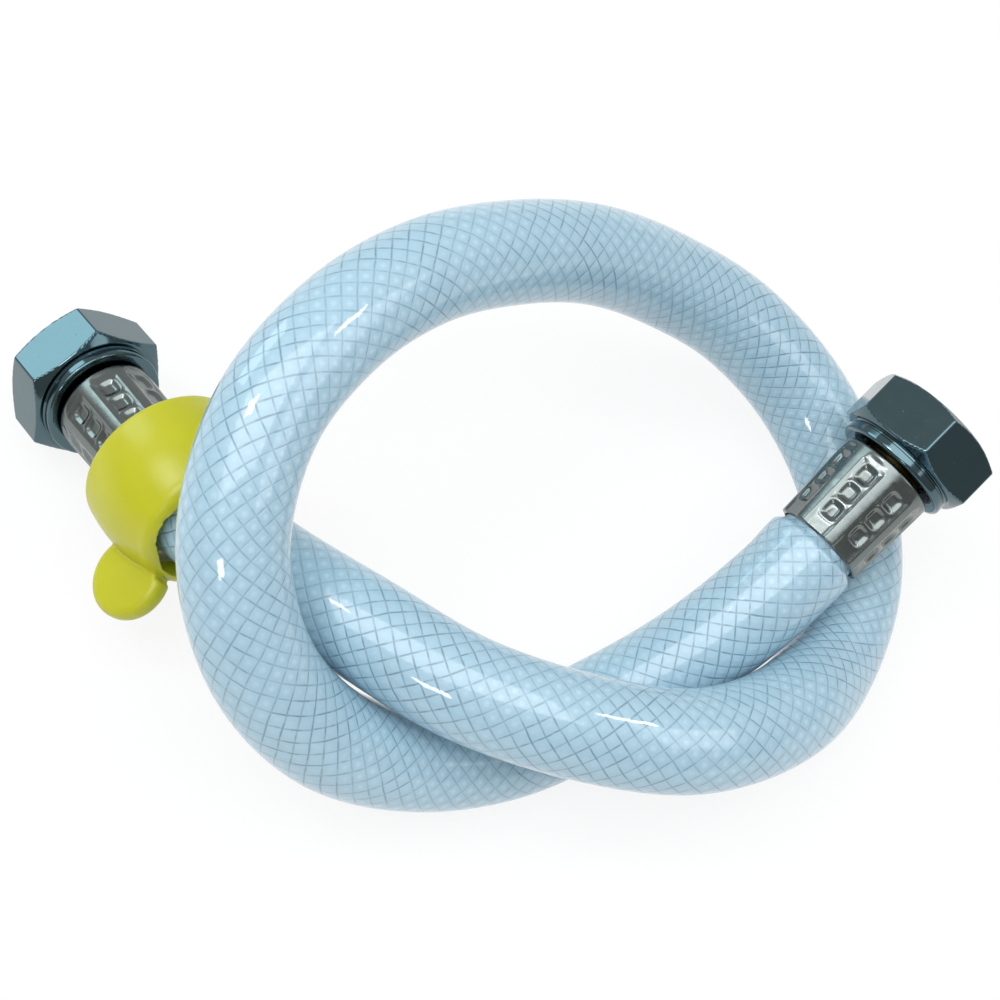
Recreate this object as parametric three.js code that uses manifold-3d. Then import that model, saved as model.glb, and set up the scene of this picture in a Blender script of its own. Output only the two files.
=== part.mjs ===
// A braided water connection hose, tied in one overhand knot and lying on a table.
// Each end has a chromed swivel nut on a turned stem, a rubber washer and a crimped ferrule.
// A yellow hand key with two round wings hangs loose on the hose beside the first ferrule.
// Millimetres, +Z up. The table is the plane z = 0.

import * as THREE from 'three';
import { mergeVertices } from 'three/addons/utils/BufferGeometryUtils.js';
import Module from 'manifold-3d';

const wasm = await Module();
wasm.setup();

// Clearance between pieces that touch or seat on each other
const GAP = 0.3;

// Hose: its section, and how it is squeezed under a ferrule
const HOSE_OUTER_D = 17.5;
const HOSE_BORE_D = 12.5;
const HOSE_SIDES = 12;
const HOSE_STEPS = 64;
const CRIMPED_OUTER_D = 15;
const CRIMP_SWELL_LENGTH = 1.8;

// Route of the hose along its centre line, from cut end to cut end.
// The first three points lie on one line, and the last three too: a ferrule holds the hose straight.
const ROUTE = [
  [-66.3, -1.55, 16.75], [-52.8, -13.05, 22.25], [-46.04, -18.81, 25], [-30.2, -27.6, 29.1],
  [-11.6, -34.3, 31.6], [7.5, -39.6, 31.7], [27.1, -39.6, 29.7], [45.8, -34.9, 25.5],
  [60.9, -22.1, 17.7], [68.3, -6.5, 10.1], [70.3, 12.1, 8.8], [65.2, 30.3, 9.5],
  [52.9, 43.1, 15.3], [37.6, 48.2, 24.2], [22.1, 46, 34.4], [8, 39.1, 45.4],
  [-4.9, 28.6, 54.4], [-17.4, 15.3, 61.3], [-27.3, -0.7, 64.1], [-33.6, -18.8, 61.7],
  [-33, -36.1, 53.2], [-25.1, -48, 40], [-12.5, -51.6, 25.5], [2.1, -47.3, 14.3],
  [17.1, -38.7, 8.9], [31, -26.8, 10.1], [44.1, -14.3, 15.5], [54.67, -0.92, 22],
  [58.91, 6.15, 25.07], [67.4, 20.3, 31.2],
];

// Swivel nut for a half inch pipe thread
const NUT_ACROSS_FLATS = 24;
const HEX_LENGTH = 9.9;
const NUT_FACE_D = 23.4;
const NUT_CHAMFER_DEGREES = 30;
const NECK_RING_D = 21.8;
const NECK_RING_LENGTH = 2.3;
const NECK_RING_ROUND = 0.5;
const NUT_BACK_GAP = 0.9;
const NUT_LIP_THICKNESS = 3.2;
const NUT_LIP_CLEARANCE = 0.9;
const THREAD_MINOR_D = 18.63;
const MOUTH_CHAMFER = 1.1;
const TURNED_SIDES = 40;

// Stem: a flange held in the nut, a neck, and a ribbed tail in the hose
const NECK_D = 12;
const FLANGE_CLEARANCE = 0.4;
const FLANGE_THICKNESS = 1.8;
const STEM_BORE_D = 8.5;
const TAIL_CLEARANCE = 0.3;
const TAIL_NOSE_LENGTH = 1.5;
const TAIL_RIB_COUNT = 4;
const TAIL_RIB_PITCH = 4.2;
const TAIL_RIB_DEPTH = 0.5;
const STEM_SIDES = 24;

// Rubber washer on the flange
const WASHER_BORE_D = 11;
const WASHER_THICKNESS = 2.5;

// Ferrule: a steel cup crimped in eight panels, with a row of dents along each
const FERRULE_LENGTH = 17.2;
const FERRULE_NUT_END_D = 18.3;
const FERRULE_HOSE_END_D = 17.3;
const FERRULE_END_THICKNESS = 0.7;
const FERRULE_EDGE_ROUND = 0.8;
const PANEL_COUNT = 8;
const PANEL_DEPTH = 0.3;
const DENTS_PER_PANEL = 3;
const DENT_SIZE = 2.4;
const DENT_PITCH = 4.1;
const FIRST_DENT_FROM_FACE = 4.3;
const DENT_FLOOR_WALL = 0.25;

// Hand key: a bell with a hexagon socket for the nut, a hexagon hole for the hose and two wings
const KEY_LENGTH = 18;
const KEY_CORNER_WALL = 0.9;
const KEY_MOUTH_NARROWING = 0.2;
const KEY_REAR_WALL = 1.15;
const KEY_REAR_ROUND = 2.2;
const KEY_SOCKET_CLEARANCE = 0.2;
const KEY_SOCKET_DEPTH = 9.5;
const KEY_RELIEF_DEPTH = 13.5;
const KEY_RELIEF_STEP = 0.4;
const KEY_HOSE_CLEARANCE = 1.25;
const WING_D = 14.6;
const WING_THICKNESS = 4;
const WING_EDGE_ROUND = 1.4;
const WING_STANDS_OUT = 1.2;
const WING_FROM_REAR = 5;
const WING_SIDES = 24;

// How the key hangs: its rear face is this far along the hose, and it leans and turns as given.
// Its share of the hose's bend is how far it sits from the ferrule's line towards the hose's own centre.
const KEY_REAR_ALONG_HOSE = 35;
const KEY_SHARE_OF_BEND = 0.5;
const KEY_REARWARD = new THREE.Vector3(0.701, -0.653, 0.278);
const KEY_WING_DIRECTION = new THREE.Vector3(0.538, 0.683, 0.495);

// How far each nut is turned about its axis
const NUT_A_ROLL = 33;
const NUT_B_ROLL = 14;
const FERRULE_ROLL = 4;

const UP = new THREE.Vector3(0, 0, 1);

// Places along an end of the hose, outward from its cut end
const ferruleFace = GAP + FERRULE_END_THICKNESS;
const ferruleHoseEnd = ferruleFace - FERRULE_LENGTH;
const nutBack = ferruleFace + NUT_BACK_GAP;
const hexBack = nutBack + NECK_RING_LENGTH;
const nutMouth = hexBack + HEX_LENGTH;
const lipFace = nutBack + NUT_LIP_THICKNESS;
const flangeBack = lipFace + GAP;
const flangeFace = flangeBack + FLANGE_THICKNESS;
const washerBack = flangeFace + GAP;
const washerFace = washerBack + WASHER_THICKNESS;

// Radii that one piece takes from another
const crimpedRadius = CRIMPED_OUTER_D / 2;
const ferruleBoreRadius = crimpedRadius + GAP;
const neckRadius = NECK_D / 2;
const flangeRadius = THREAD_MINOR_D / 2 - FLANGE_CLEARANCE;
const tailRadius = HOSE_BORE_D / 2 - TAIL_CLEARANCE;

// Colours and finishes
const FINISHES = {
  hose: { color: 0xc9dbe6, roughness: 0.2, metalness: 0 },
  chrome: { color: 0x9fb0b6, roughness: 0.15, metalness: 1 },
  steel: { color: 0x8d9086, roughness: 0.25, metalness: 1 },
  brass: { color: 0xb59a5a, roughness: 0.35, metalness: 1 },
  rubber: { color: 0x23262a, roughness: 0.8, metalness: 0 },
  yellow: { color: 0xd2da32, roughness: 0.3, metalness: 0 },
};

// A closed solid, ready to be joined and cut
function solid(geometry) {
  const bare = geometry.index ? geometry.toNonIndexed() : geometry.clone();
  bare.deleteAttribute('normal');
  bare.deleteAttribute('uv');
  const merged = mergeVertices(bare, 1e-4);
  return new wasm.Manifold(new wasm.Mesh({
    numProp: 3,
    vertProperties: new Float32Array(merged.attributes.position.array),
    triVerts: new Uint32Array(merged.index.array),
  }));
}

// A named mesh of a closed solid
function piece(name, body, finish) {
  const mesh = body.getMesh();
  const geometry = new THREE.BufferGeometry();
  geometry.setAttribute('position', new THREE.BufferAttribute(new Float32Array(mesh.vertProperties), 3));
  geometry.setIndex(new THREE.BufferAttribute(new Uint32Array(mesh.triVerts), 1));
  geometry.computeVertexNormals();
  const result = new THREE.Mesh(geometry, new THREE.MeshStandardMaterial(FINISHES[finish]));
  result.name = name;
  return result;
}

// Ring turned about Z: corners are [radius, height], counter-clockwise round its section
function ring(corners, sides) {
  const points = [...corners, corners[0]].map(([radius, height]) => new THREE.Vector2(radius, height));
  return solid(new THREE.LatheGeometry(points, sides).rotateX(Math.PI / 2));
}

// Full solid turned about Z: corners are [radius, height], from its bottom to its top
function turned(corners, sides) {
  const bottom = [0, corners[0][1]];
  const top = [0, corners[corners.length - 1][1]];
  const points = [bottom, ...corners, top].map(([radius, height]) => new THREE.Vector2(radius, height));
  return solid(new THREE.LatheGeometry(points, sides).rotateX(Math.PI / 2));
}

// From the middle to a corner of a hexagon
function cornerRadius(acrossFlats) {
  return acrossFlats / 2 / Math.cos(Math.PI / 6);
}

// Prism about Z between two heights, with a flat across +Y
function prism(sides, acrossFlats, from, to, acrossFlatsTop = acrossFlats) {
  const corner = 2 * Math.cos(Math.PI / sides);
  const geometry = new THREE.CylinderGeometry(
    acrossFlatsTop / corner, acrossFlats / corner, to - from, sides, 1, false, Math.PI / sides);
  return solid(geometry.rotateX(Math.PI / 2).translate(0, 0, (from + to) / 2));
}

const hoseCurve = new THREE.CatmullRomCurve3(
  ROUTE.map((point) => new THREE.Vector3(...point)), false, 'centripetal');

// Group at an end of the hose: its +Z is the way out, and its zero is the cut end of the hose
function endGroup(cutEnd, inside) {
  const group = new THREE.Group();
  group.position.set(...cutEnd);
  const outward = group.position.clone().sub(new THREE.Vector3(...inside)).normalize();
  group.quaternion.setFromUnitVectors(UP, outward);
  group.updateMatrix();
  return group;
}

const endA = endGroup(ROUTE[0], ROUTE[1]);
const endB = endGroup(ROUTE[ROUTE.length - 1], ROUTE[ROUTE.length - 2]);

// Polygon of the hose's section
function sectionPolygon(path, toCorner) {
  for (let i = 0; i < HOSE_SIDES; i += 1) {
    const angle = 2 * Math.PI * i / HOSE_SIDES;
    const corner = [toCorner * Math.cos(angle), toCorner * Math.sin(angle)];
    if (i === 0) path.moveTo(...corner);
    else path.lineTo(...corner);
  }
  path.closePath();
  return path;
}

// What a ferrule squeezes away: the outside of the hose, from its cut end to where it swells out again
function squeezedAway() {
  const swellStart = ferruleHoseEnd - GAP;
  const outside = HOSE_OUTER_D / 2;
  return ring([
    [crimpedRadius, swellStart], [outside, swellStart - CRIMP_SWELL_LENGTH],
    [outside + 1, swellStart - CRIMP_SWELL_LENGTH], [outside + 1, 1], [crimpedRadius, 1],
  ], TURNED_SIDES);
}

// The hose, in one length, hollow all the way
function makeHose() {
  const section = sectionPolygon(new THREE.Shape(), HOSE_OUTER_D / 2);
  const boreCorner = HOSE_BORE_D / 2 / Math.cos(Math.PI / HOSE_SIDES);
  section.holes.push(sectionPolygon(new THREE.Path(), boreCorner));
  const tube = solid(new THREE.ExtrudeGeometry(section, {
    steps: HOSE_STEPS, bevelEnabled: false, extrudePath: hoseCurve,
  }));
  const crimps = [endA, endB].map((end) => squeezedAway().transform(end.matrix.toArray()));
  return piece('hose', tube.subtract(crimps[0]).subtract(crimps[1]), 'hose');
}

// Hexagon with a chamfered mouth, a round neck ring behind it, and a stepped bore
function makeNut(name) {
  const corner = cornerRadius(NUT_ACROSS_FLATS);
  const chamferDepth = (corner - NUT_FACE_D / 2) * Math.tan(THREE.MathUtils.degToRad(NUT_CHAMFER_DEGREES));
  const chamfered = turned([
    [corner + 1, hexBack], [corner + 1, nutMouth - chamferDepth], [corner, nutMouth - chamferDepth],
    [NUT_FACE_D / 2, nutMouth],
  ], TURNED_SIDES);
  const hexagon = prism(6, NUT_ACROSS_FLATS, hexBack, nutMouth).intersect(chamfered);
  const neckRing = turned([
    [NECK_RING_D / 2 - NECK_RING_ROUND, nutBack], [NECK_RING_D / 2, nutBack + NECK_RING_ROUND],
    [NECK_RING_D / 2, hexBack + 1],
  ], TURNED_SIDES);
  const lipRadius = neckRadius + NUT_LIP_CLEARANCE;
  const bore = turned([
    [lipRadius, nutBack - 1], [lipRadius, lipFace], [THREAD_MINOR_D / 2, lipFace],
    [THREAD_MINOR_D / 2, nutMouth - MOUTH_CHAMFER], [THREAD_MINOR_D / 2 + MOUTH_CHAMFER, nutMouth],
    [THREAD_MINOR_D / 2 + MOUTH_CHAMFER, nutMouth + 1],
  ], TURNED_SIDES);
  return piece(name, hexagon.add(neckRing).subtract(bore), 'chrome');
}

// Flange, neck and ribbed tail, bored through
function makeStem(name) {
  const bore = STEM_BORE_D / 2;
  const ribsEnd = -TAIL_RIB_COUNT * TAIL_RIB_PITCH;
  const noseEnd = ribsEnd - TAIL_NOSE_LENGTH;
  const corners = [[bore, noseEnd], [tailRadius - TAIL_RIB_DEPTH, noseEnd]];
  for (let i = 0; i < TAIL_RIB_COUNT; i += 1) {
    const start = ribsEnd + i * TAIL_RIB_PITCH;
    corners.push([tailRadius - TAIL_RIB_DEPTH, start], [tailRadius, start + TAIL_RIB_PITCH * 0.8]);
  }
  corners.push(
    [tailRadius - TAIL_RIB_DEPTH, 0], [neckRadius, 0], [neckRadius, flangeBack],
    [flangeRadius, flangeBack], [flangeRadius, flangeFace], [bore, flangeFace]);
  return piece(name, ring(corners, STEM_SIDES), 'brass');
}

// Flat rubber ring
function makeWasher(name) {
  return piece(name, ring([
    [WASHER_BORE_D / 2, washerBack], [flangeRadius, washerBack],
    [flangeRadius, washerFace], [WASHER_BORE_D / 2, washerFace],
  ], STEM_SIDES), 'rubber');
}

// One dent of a ferrule, pressed square into the middle of a panel
function dent(panel, row) {
  const reach = FERRULE_NUT_END_D / 2;
  const floor = ferruleBoreRadius + DENT_FLOOR_WALL;
  const box = new THREE.BoxGeometry(DENT_SIZE, reach, DENT_SIZE);
  box.translate(0, floor + reach / 2, ferruleFace - FIRST_DENT_FROM_FACE - row * DENT_PITCH);
  return solid(box.rotateZ(2 * Math.PI * panel / PANEL_COUNT));
}

// Tapered cup with eight pressed panels and their dents
function makeFerrule(name) {
  const nutEnd = FERRULE_NUT_END_D / 2;
  const hoseEnd = FERRULE_HOSE_END_D / 2;
  const cone = turned([
    [hoseEnd, ferruleHoseEnd], [nutEnd, ferruleFace - FERRULE_EDGE_ROUND],
    [nutEnd - FERRULE_EDGE_ROUND * 0.3, ferruleFace - FERRULE_EDGE_ROUND * 0.3],
    [nutEnd - FERRULE_EDGE_ROUND, ferruleFace],
  ], TURNED_SIDES);
  const panels = prism(PANEL_COUNT, FERRULE_HOSE_END_D - 2 * PANEL_DEPTH, ferruleHoseEnd, ferruleFace,
    FERRULE_NUT_END_D - 2 * PANEL_DEPTH);
  const inside = turned([
    [ferruleBoreRadius, ferruleHoseEnd - 1], [ferruleBoreRadius, GAP],
    [neckRadius + GAP, GAP], [neckRadius + GAP, ferruleFace + 1],
  ], TURNED_SIDES);
  let cup = cone.intersect(panels).subtract(inside);
  for (let panel = 0; panel < PANEL_COUNT; panel += 1) {
    for (let row = 0; row < DENTS_PER_PANEL; row += 1) cup = cup.subtract(dent(panel, row));
  }
  return piece(name, cup, 'steel');
}

// Everything on one end of the hose
function dressEnd(end, letter, nutRoll) {
  const nut = makeNut(`swivel_nut_${letter}`);
  nut.rotateZ(THREE.MathUtils.degToRad(nutRoll));
  const ferrule = makeFerrule(`ferrule_${letter}`);
  ferrule.rotateZ(THREE.MathUtils.degToRad(FERRULE_ROLL));
  end.add(makeStem(`stem_${letter}`), makeWasher(`washer_${letter}`), ferrule, nut);
  return end;
}

// Sizes of the key that follow from the nut and the hose: its wall stands over the corners of both hexagons
const keyHoleAcrossFlats = HOSE_OUTER_D + 2 * KEY_HOSE_CLEARANCE;
const keySocketAcrossFlats = NUT_ACROSS_FLATS + 2 * KEY_SOCKET_CLEARANCE;
const keyRearRadius = cornerRadius(keyHoleAcrossFlats) + KEY_REAR_WALL;
const keyMiddleRadius = cornerRadius(keySocketAcrossFlats) + KEY_CORNER_WALL;

// Round wing of the key, flat across Y
function wing(side) {
  const radius = WING_D / 2;
  const half = WING_THICKNESS / 2;
  const disc = turned([
    [radius - WING_EDGE_ROUND, -half], [radius - WING_EDGE_ROUND * 0.3, -half + WING_EDGE_ROUND * 0.3],
    [radius, -half + WING_EDGE_ROUND], [radius, half - WING_EDGE_ROUND],
    [radius - WING_EDGE_ROUND * 0.3, half - WING_EDGE_ROUND * 0.3], [radius - WING_EDGE_ROUND, half],
  ], WING_SIDES);
  const centre = side * (keyMiddleRadius + WING_STANDS_OUT);
  return disc.rotate([90, 0, 0]).translate([centre, 0, WING_FROM_REAR]);
}

// The key about its own axis: rear face at zero, mouth at the top, wings along X
function makeKey() {
  const rear = keyRearRadius;
  const side = new THREE.SplineCurve([
    new THREE.Vector2(rear, KEY_REAR_ROUND),
    new THREE.Vector2(keyMiddleRadius - 0.5, KEY_LENGTH * 0.45),
    new THREE.Vector2(keyMiddleRadius, KEY_LENGTH * 0.7),
    new THREE.Vector2(keyMiddleRadius - KEY_MOUTH_NARROWING, KEY_LENGTH),
  ]).getPoints(9).map((point) => point.toArray());
  const outside = turned([
    [rear - KEY_REAR_ROUND, 0], [rear - KEY_REAR_ROUND * 0.3, KEY_REAR_ROUND * 0.3], ...side,
  ], TURNED_SIDES);
  const reliefRadius = keySocketAcrossFlats / 2 - KEY_RELIEF_STEP;
  const reliefFloor = KEY_LENGTH - KEY_RELIEF_DEPTH;
  const socketFloor = KEY_LENGTH - KEY_SOCKET_DEPTH;
  const body = outside.add(wing(-1)).add(wing(1))
    .subtract(prism(6, keyHoleAcrossFlats, -cornerRadius(keyHoleAcrossFlats), reliefFloor + 1))
    .subtract(turned([[reliefRadius, reliefFloor], [reliefRadius, socketFloor + 1]], TURNED_SIDES))
    .subtract(prism(6, keySocketAcrossFlats, socketFloor, KEY_LENGTH + 1));
  return piece('hand_key', body, 'yellow');
}

// The key where it hangs on the hose
function hangKey() {
  const key = makeKey();
  const forward = KEY_REARWARD.clone().normalize().negate();
  const flat = new THREE.Vector3().crossVectors(forward, KEY_WING_DIRECTION).normalize();
  const wings = new THREE.Vector3().crossVectors(flat, forward);
  key.quaternion.setFromRotationMatrix(new THREE.Matrix4().makeBasis(wings, flat, forward));
  const onHose = hoseCurve.getPointAt(KEY_REAR_ALONG_HOSE / hoseCurve.getLength());
  key.position.set(0, 0, -KEY_REAR_ALONG_HOSE).applyMatrix4(endA.matrix).lerp(onHose, KEY_SHARE_OF_BEND);
  return key;
}

const part = new THREE.Group();
part.add(
  makeHose(),
  dressEnd(endA, 'a', NUT_A_ROLL),
  dressEnd(endB, 'b', NUT_B_ROLL),
  hangKey(),
);

export default part;
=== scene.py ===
"""Looks of a braided water connection hose, tied in one overhand knot.

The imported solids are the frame. Every piece here replaces one of them, in metres and in the same place:
the clear skinned hose, and on each end a stem, a washer, a crimped ferrule and a chromed swivel nut,
and the yellow hand key that hangs on the hose beside the first ferrule.
"""

from __future__ import annotations

import logging
import math
from collections.abc import Callable, Sequence
from dataclasses import dataclass, field
from enum import Enum

import bmesh
import bpy
from mathutils import Matrix, Vector

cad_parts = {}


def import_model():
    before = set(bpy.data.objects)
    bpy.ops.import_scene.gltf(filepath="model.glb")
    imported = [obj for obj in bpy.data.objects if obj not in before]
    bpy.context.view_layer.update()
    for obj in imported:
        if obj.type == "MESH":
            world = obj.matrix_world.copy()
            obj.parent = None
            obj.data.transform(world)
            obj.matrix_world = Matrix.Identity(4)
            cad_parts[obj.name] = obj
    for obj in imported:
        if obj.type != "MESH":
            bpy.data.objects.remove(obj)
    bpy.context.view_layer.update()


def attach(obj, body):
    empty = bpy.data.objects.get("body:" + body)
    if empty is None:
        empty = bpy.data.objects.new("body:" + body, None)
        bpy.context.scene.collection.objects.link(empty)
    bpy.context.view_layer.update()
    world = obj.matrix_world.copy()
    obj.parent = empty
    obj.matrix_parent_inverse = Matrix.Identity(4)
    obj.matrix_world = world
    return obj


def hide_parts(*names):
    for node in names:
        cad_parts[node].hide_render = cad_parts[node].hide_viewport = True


log = logging.getLogger("hose")

MM = 0.001
TAU = 2 * math.pi
Profile = Sequence[tuple[float, float]]

# The hose's route in millimetres, as the part's source has it, from cut end to cut end.
ROUTE_MM = [
    (-66.3, -1.55, 16.75), (-52.8, -13.05, 22.25), (-46.04, -18.81, 25), (-30.2, -27.6, 29.1),
    (-11.6, -34.3, 31.6), (7.5, -39.6, 31.7), (27.1, -39.6, 29.7), (45.8, -34.9, 25.5),
    (60.9, -22.1, 17.7), (68.3, -6.5, 10.1), (70.3, 12.1, 8.8), (65.2, 30.3, 9.5),
    (52.9, 43.1, 15.3), (37.6, 48.2, 24.2), (22.1, 46, 34.4), (8, 39.1, 45.4),
    (-4.9, 28.6, 54.4), (-17.4, 15.3, 61.3), (-27.3, -0.7, 64.1), (-33.6, -18.8, 61.7),
    (-33, -36.1, 53.2), (-25.1, -48, 40), (-12.5, -51.6, 25.5), (2.1, -47.3, 14.3),
    (17.1, -38.7, 8.9), (31, -26.8, 10.1), (44.1, -14.3, 15.5), (54.67, -0.92, 22),
    (58.91, 6.15, 25.07), (67.4, 20.3, 31.2),
]


class Body(Enum):
    """Rigid bodies of the frame."""

    HOSE = "hose_with_ends"
    NUT_A = "nut_a"
    NUT_B = "nut_b"
    KEY = "key"


class Slot(Enum):
    """Material slots of the record."""

    HOSE = "hose"
    CHROME = "chrome"
    STEEL = "steel"
    BRASS = "brass"
    RUBBER = "rubber"
    YELLOW = "yellow"


# Colour and node helpers


def linear(hex_colour: str) -> tuple[float, float, float, float]:
    """Turns an sRGB hex colour into linear values.

    Args:
        hex_colour: Six hex digits with a leading hash.

    Returns:
        Red, green and blue in linear light, and full opacity.
    """
    channels = [int(hex_colour[i : i + 2], 16) / 255 for i in (1, 3, 5)]
    turned = [c / 12.92 if c <= 0.04045 else ((c + 0.055) / 1.055) ** 2.4 for c in channels]
    return (turned[0], turned[1], turned[2], 1.0)


def add_node(
    tree: bpy.types.NodeTree, kind: str, inputs: dict | None = None, **settings: object
) -> bpy.types.Node:
    """Adds a node with its settings, and its values and links.

    Args:
        tree: Tree that takes the node.
        kind: Blender's name for the kind of node.
        inputs: Input name or number to a value, or to the output socket that feeds it.
        settings: Attributes of the node.

    Returns:
        The new node.
    """
    node = tree.nodes.new(kind)
    for name, value in settings.items():
        setattr(node, name, value)
    for key, value in (inputs or {}).items():
        if isinstance(value, bpy.types.NodeSocket):
            tree.links.new(value, node.inputs[key])
        else:
            node.inputs[key].default_value = value
    return node


@dataclass(frozen=True)
class Finish:
    """A material: what it is, and how its surface was made."""

    name: str
    colour: str
    roughness: float
    metallic: float = 0.0
    ior: float = 1.5

    def shader(self, material: bpy.types.Material) -> bpy.types.Node:
        """Sets the shader's plain values and returns it."""
        shader = material.node_tree.nodes["Principled BSDF"]
        shader.inputs["Base Color"].default_value = linear(self.colour)
        shader.inputs["Roughness"].default_value = self.roughness
        shader.inputs["Metallic"].default_value = self.metallic
        shader.inputs["IOR"].default_value = self.ior
        return shader

    def detail(self, tree: bpy.types.NodeTree, shader: bpy.types.Node) -> None:
        """Adds what the plain values lack. Each finish has its own."""

    def make(self) -> bpy.types.Material:
        """Builds the material.

        Returns:
            The material, ready to assign.
        """
        material = bpy.data.materials.new(self.name)
        material.use_nodes = True
        self.detail(material.node_tree, self.shader(material))
        return material


@dataclass(frozen=True)
class BraidUnderClearSkin(Finish):
    """Polyester braid under a clear PVC skin: a net of fine lines between soft pillows with a painted
    highlight in each, under a wet gloss, with a painted sheen in patches.

    The yarns lie below a smooth skin, so their colour and relief belong to the base, and the gloss is a coat
    with hardly any relief of its own.
    """

    line_colour: str = "#4f6c80"
    # Painted highlight: the colour mixed into the middle of each pillow
    pillow_highlight_colour: str = "#cfe2ea"
    yarns: int = 16
    yarn_spacing_mm: float = 3.2
    line_share: float = 0.1
    sway: float = 0.35
    relief_mm: float = 0.3
    skin_tint: str = "#eef6f9"

    def detail(self, tree: bpy.types.NodeTree, shader: bpy.types.Node) -> None:
        """Draws the two families of yarns on the hose's own map: turns round it, millimetres along it."""

        def put(kind: str, inputs: dict, **settings: object) -> bpy.types.NodeSocket:
            """Adds a node and returns its first output."""
            return add_node(tree, f"ShaderNode{kind}", inputs, **settings).outputs[0]

        soft = {"interpolation_type": "SMOOTHSTEP"}
        place = put("UVMap", {}, uv_map="Braid")
        axes = add_node(tree, "ShaderNodeSeparateXYZ", {0: place})
        spot = add_node(tree, "ShaderNodeTexCoord").outputs["Object"]
        # The yarns wander a little, as wound by a machine and then bent by hand
        wander, weave, sheen_patches = (
            put("TexNoise", {"Vector": spot, "Scale": waves_in_a_metre, "Detail": detail})
            for waves_in_a_metre, detail in ((110.0, 2.0), (420.0, 2.0), (60.0, 1.5))
        )
        sway = put("Math", {0: wander, 1: self.sway, 2: -self.sway / 2}, operation="MULTIPLY_ADD")
        turns = put("Math", {0: axes.outputs[0], 1: float(self.yarns), 2: sway}, operation="MULTIPLY_ADD")
        along = put("Math", {0: axes.outputs[1], 1: 1 / self.yarn_spacing_mm}, operation="MULTIPLY")

        # One family lies over the other by turns, so the lines of each come and go
        yarns, lines = [], []
        for sign, low, high in (("ADD", 0.5, 1.0), ("SUBTRACT", 1.0, 0.55)):
            across = put("Math", {0: turns, 1: along}, operation=sign)
            yarns.append(put("Math", {0: across, 1: 0.5}, operation="PINGPONG"))
            line = put("MapRange", {0: yarns[-1], 1: 0.0, 2: self.line_share, 3: 1.0, 4: 0.0}, **soft)
            on_top = put("MapRange", {0: weave, 1: 0.42, 2: 0.58, 3: low, 4: high}, **soft)
            lines.append(put("Math", {0: line, 1: on_top}, operation="MULTIPLY"))
        net = put("Math", {0: lines[0], 1: lines[1]}, operation="MAXIMUM")
        middle = put("Math", {0: yarns[0], 1: yarns[1]}, operation="MULTIPLY")

        # Painted sheen: in whole patches at random the pillows are painted lighter and the lines fainter,
        # standing in for the skin's broad reflection; the lighter middle of each pillow is a painted
        # highlight
        raised = put("MapRange", {0: middle, 1: 0.08, 2: 0.21}, **soft)
        painted_sheen_share = put("MapRange", {0: sheen_patches, 1: 0.44, 2: 0.6, 3: 0.1, 4: 0.5}, **soft)
        clear = put("MapRange", {0: sheen_patches, 1: 0.4, 2: 0.6, 3: 0.7, 4: 0.3}, **soft)
        paint = linear(self.colour)
        for pattern, strength, colour in ((raised, painted_sheen_share, self.pillow_highlight_colour), (net, clear, self.line_colour)):
            share = put("Math", {0: pattern, 1: strength}, operation="MULTIPLY")
            mixed = add_node(tree, "ShaderNodeMix", {0: share, 6: paint, 7: linear(colour)}, data_type="RGBA")
            paint = mixed.outputs[2]
        tree.links.new(paint, shader.inputs["Base Color"])

        sunk = put("Math", {0: net, 1: -0.7}, operation="MULTIPLY")
        height = put("Math", {0: middle, 1: 3.0, 2: sunk}, operation="MULTIPLY_ADD")
        for relief, strength, socket in ((height, 0.45, "Normal"), (middle, 0.1, "Coat Normal")):
            inputs = {"Height": relief, "Distance": self.relief_mm * MM, "Strength": strength}
            tree.links.new(put("Bump", inputs), shader.inputs[socket])
        skin = {"Weight": 1.0, "Roughness": 0.05, "IOR": 1.54, "Tint": linear(self.skin_tint)}
        for name, value in skin.items():
            shader.inputs[f"Coat {name}"].default_value = value


@dataclass(frozen=True)
class ChromePlate(Finish):
    """Chrome plate on machined brass: a mirror with fine pits and faint wiping marks, its base colour painted
    dark as a painted reflection of a dim room.
    """

    pit_mm: float = 0.35

    def detail(self, tree: bpy.types.NodeTree, shader: bpy.types.Node) -> None:
        """Adds pits as small rough spots, and a wiped unevenness."""
        spot = add_node(tree, "ShaderNodeTexCoord").outputs["Object"]
        pits = add_node(tree, "ShaderNodeTexVoronoi", {"Vector": spot, "Scale": 1 / (self.pit_mm * 4 * MM)})
        speck = add_node(tree, "ShaderNodeMapRange", {0: pits.outputs[0], 1: 0.0, 2: 0.12, 3: 0.35, 4: 0.0})
        wiped = add_node(tree, "ShaderNodeTexNoise", {"Vector": spot, "Scale": 350.0, "Detail": 3.0})
        haze = add_node(tree, "ShaderNodeMapRange", {0: wiped.outputs[0], 1: 0.3, 2: 0.75, 3: self.roughness,
                                                     4: self.roughness + 0.09})
        rough = add_node(tree, "ShaderNodeMath", {0: haze.outputs[0], 1: speck.outputs[0]}, operation="ADD")
        tree.links.new(rough.outputs[0], shader.inputs["Roughness"])
        waves = add_node(tree, "ShaderNodeTexNoise", {"Vector": spot, "Scale": 160.0, "Detail": 1.0})
        relief = add_node(tree, "ShaderNodeBump", {"Height": waves.outputs[0], "Distance": 0.03 * MM})
        tree.links.new(relief.outputs[0], shader.inputs["Normal"])


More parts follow.
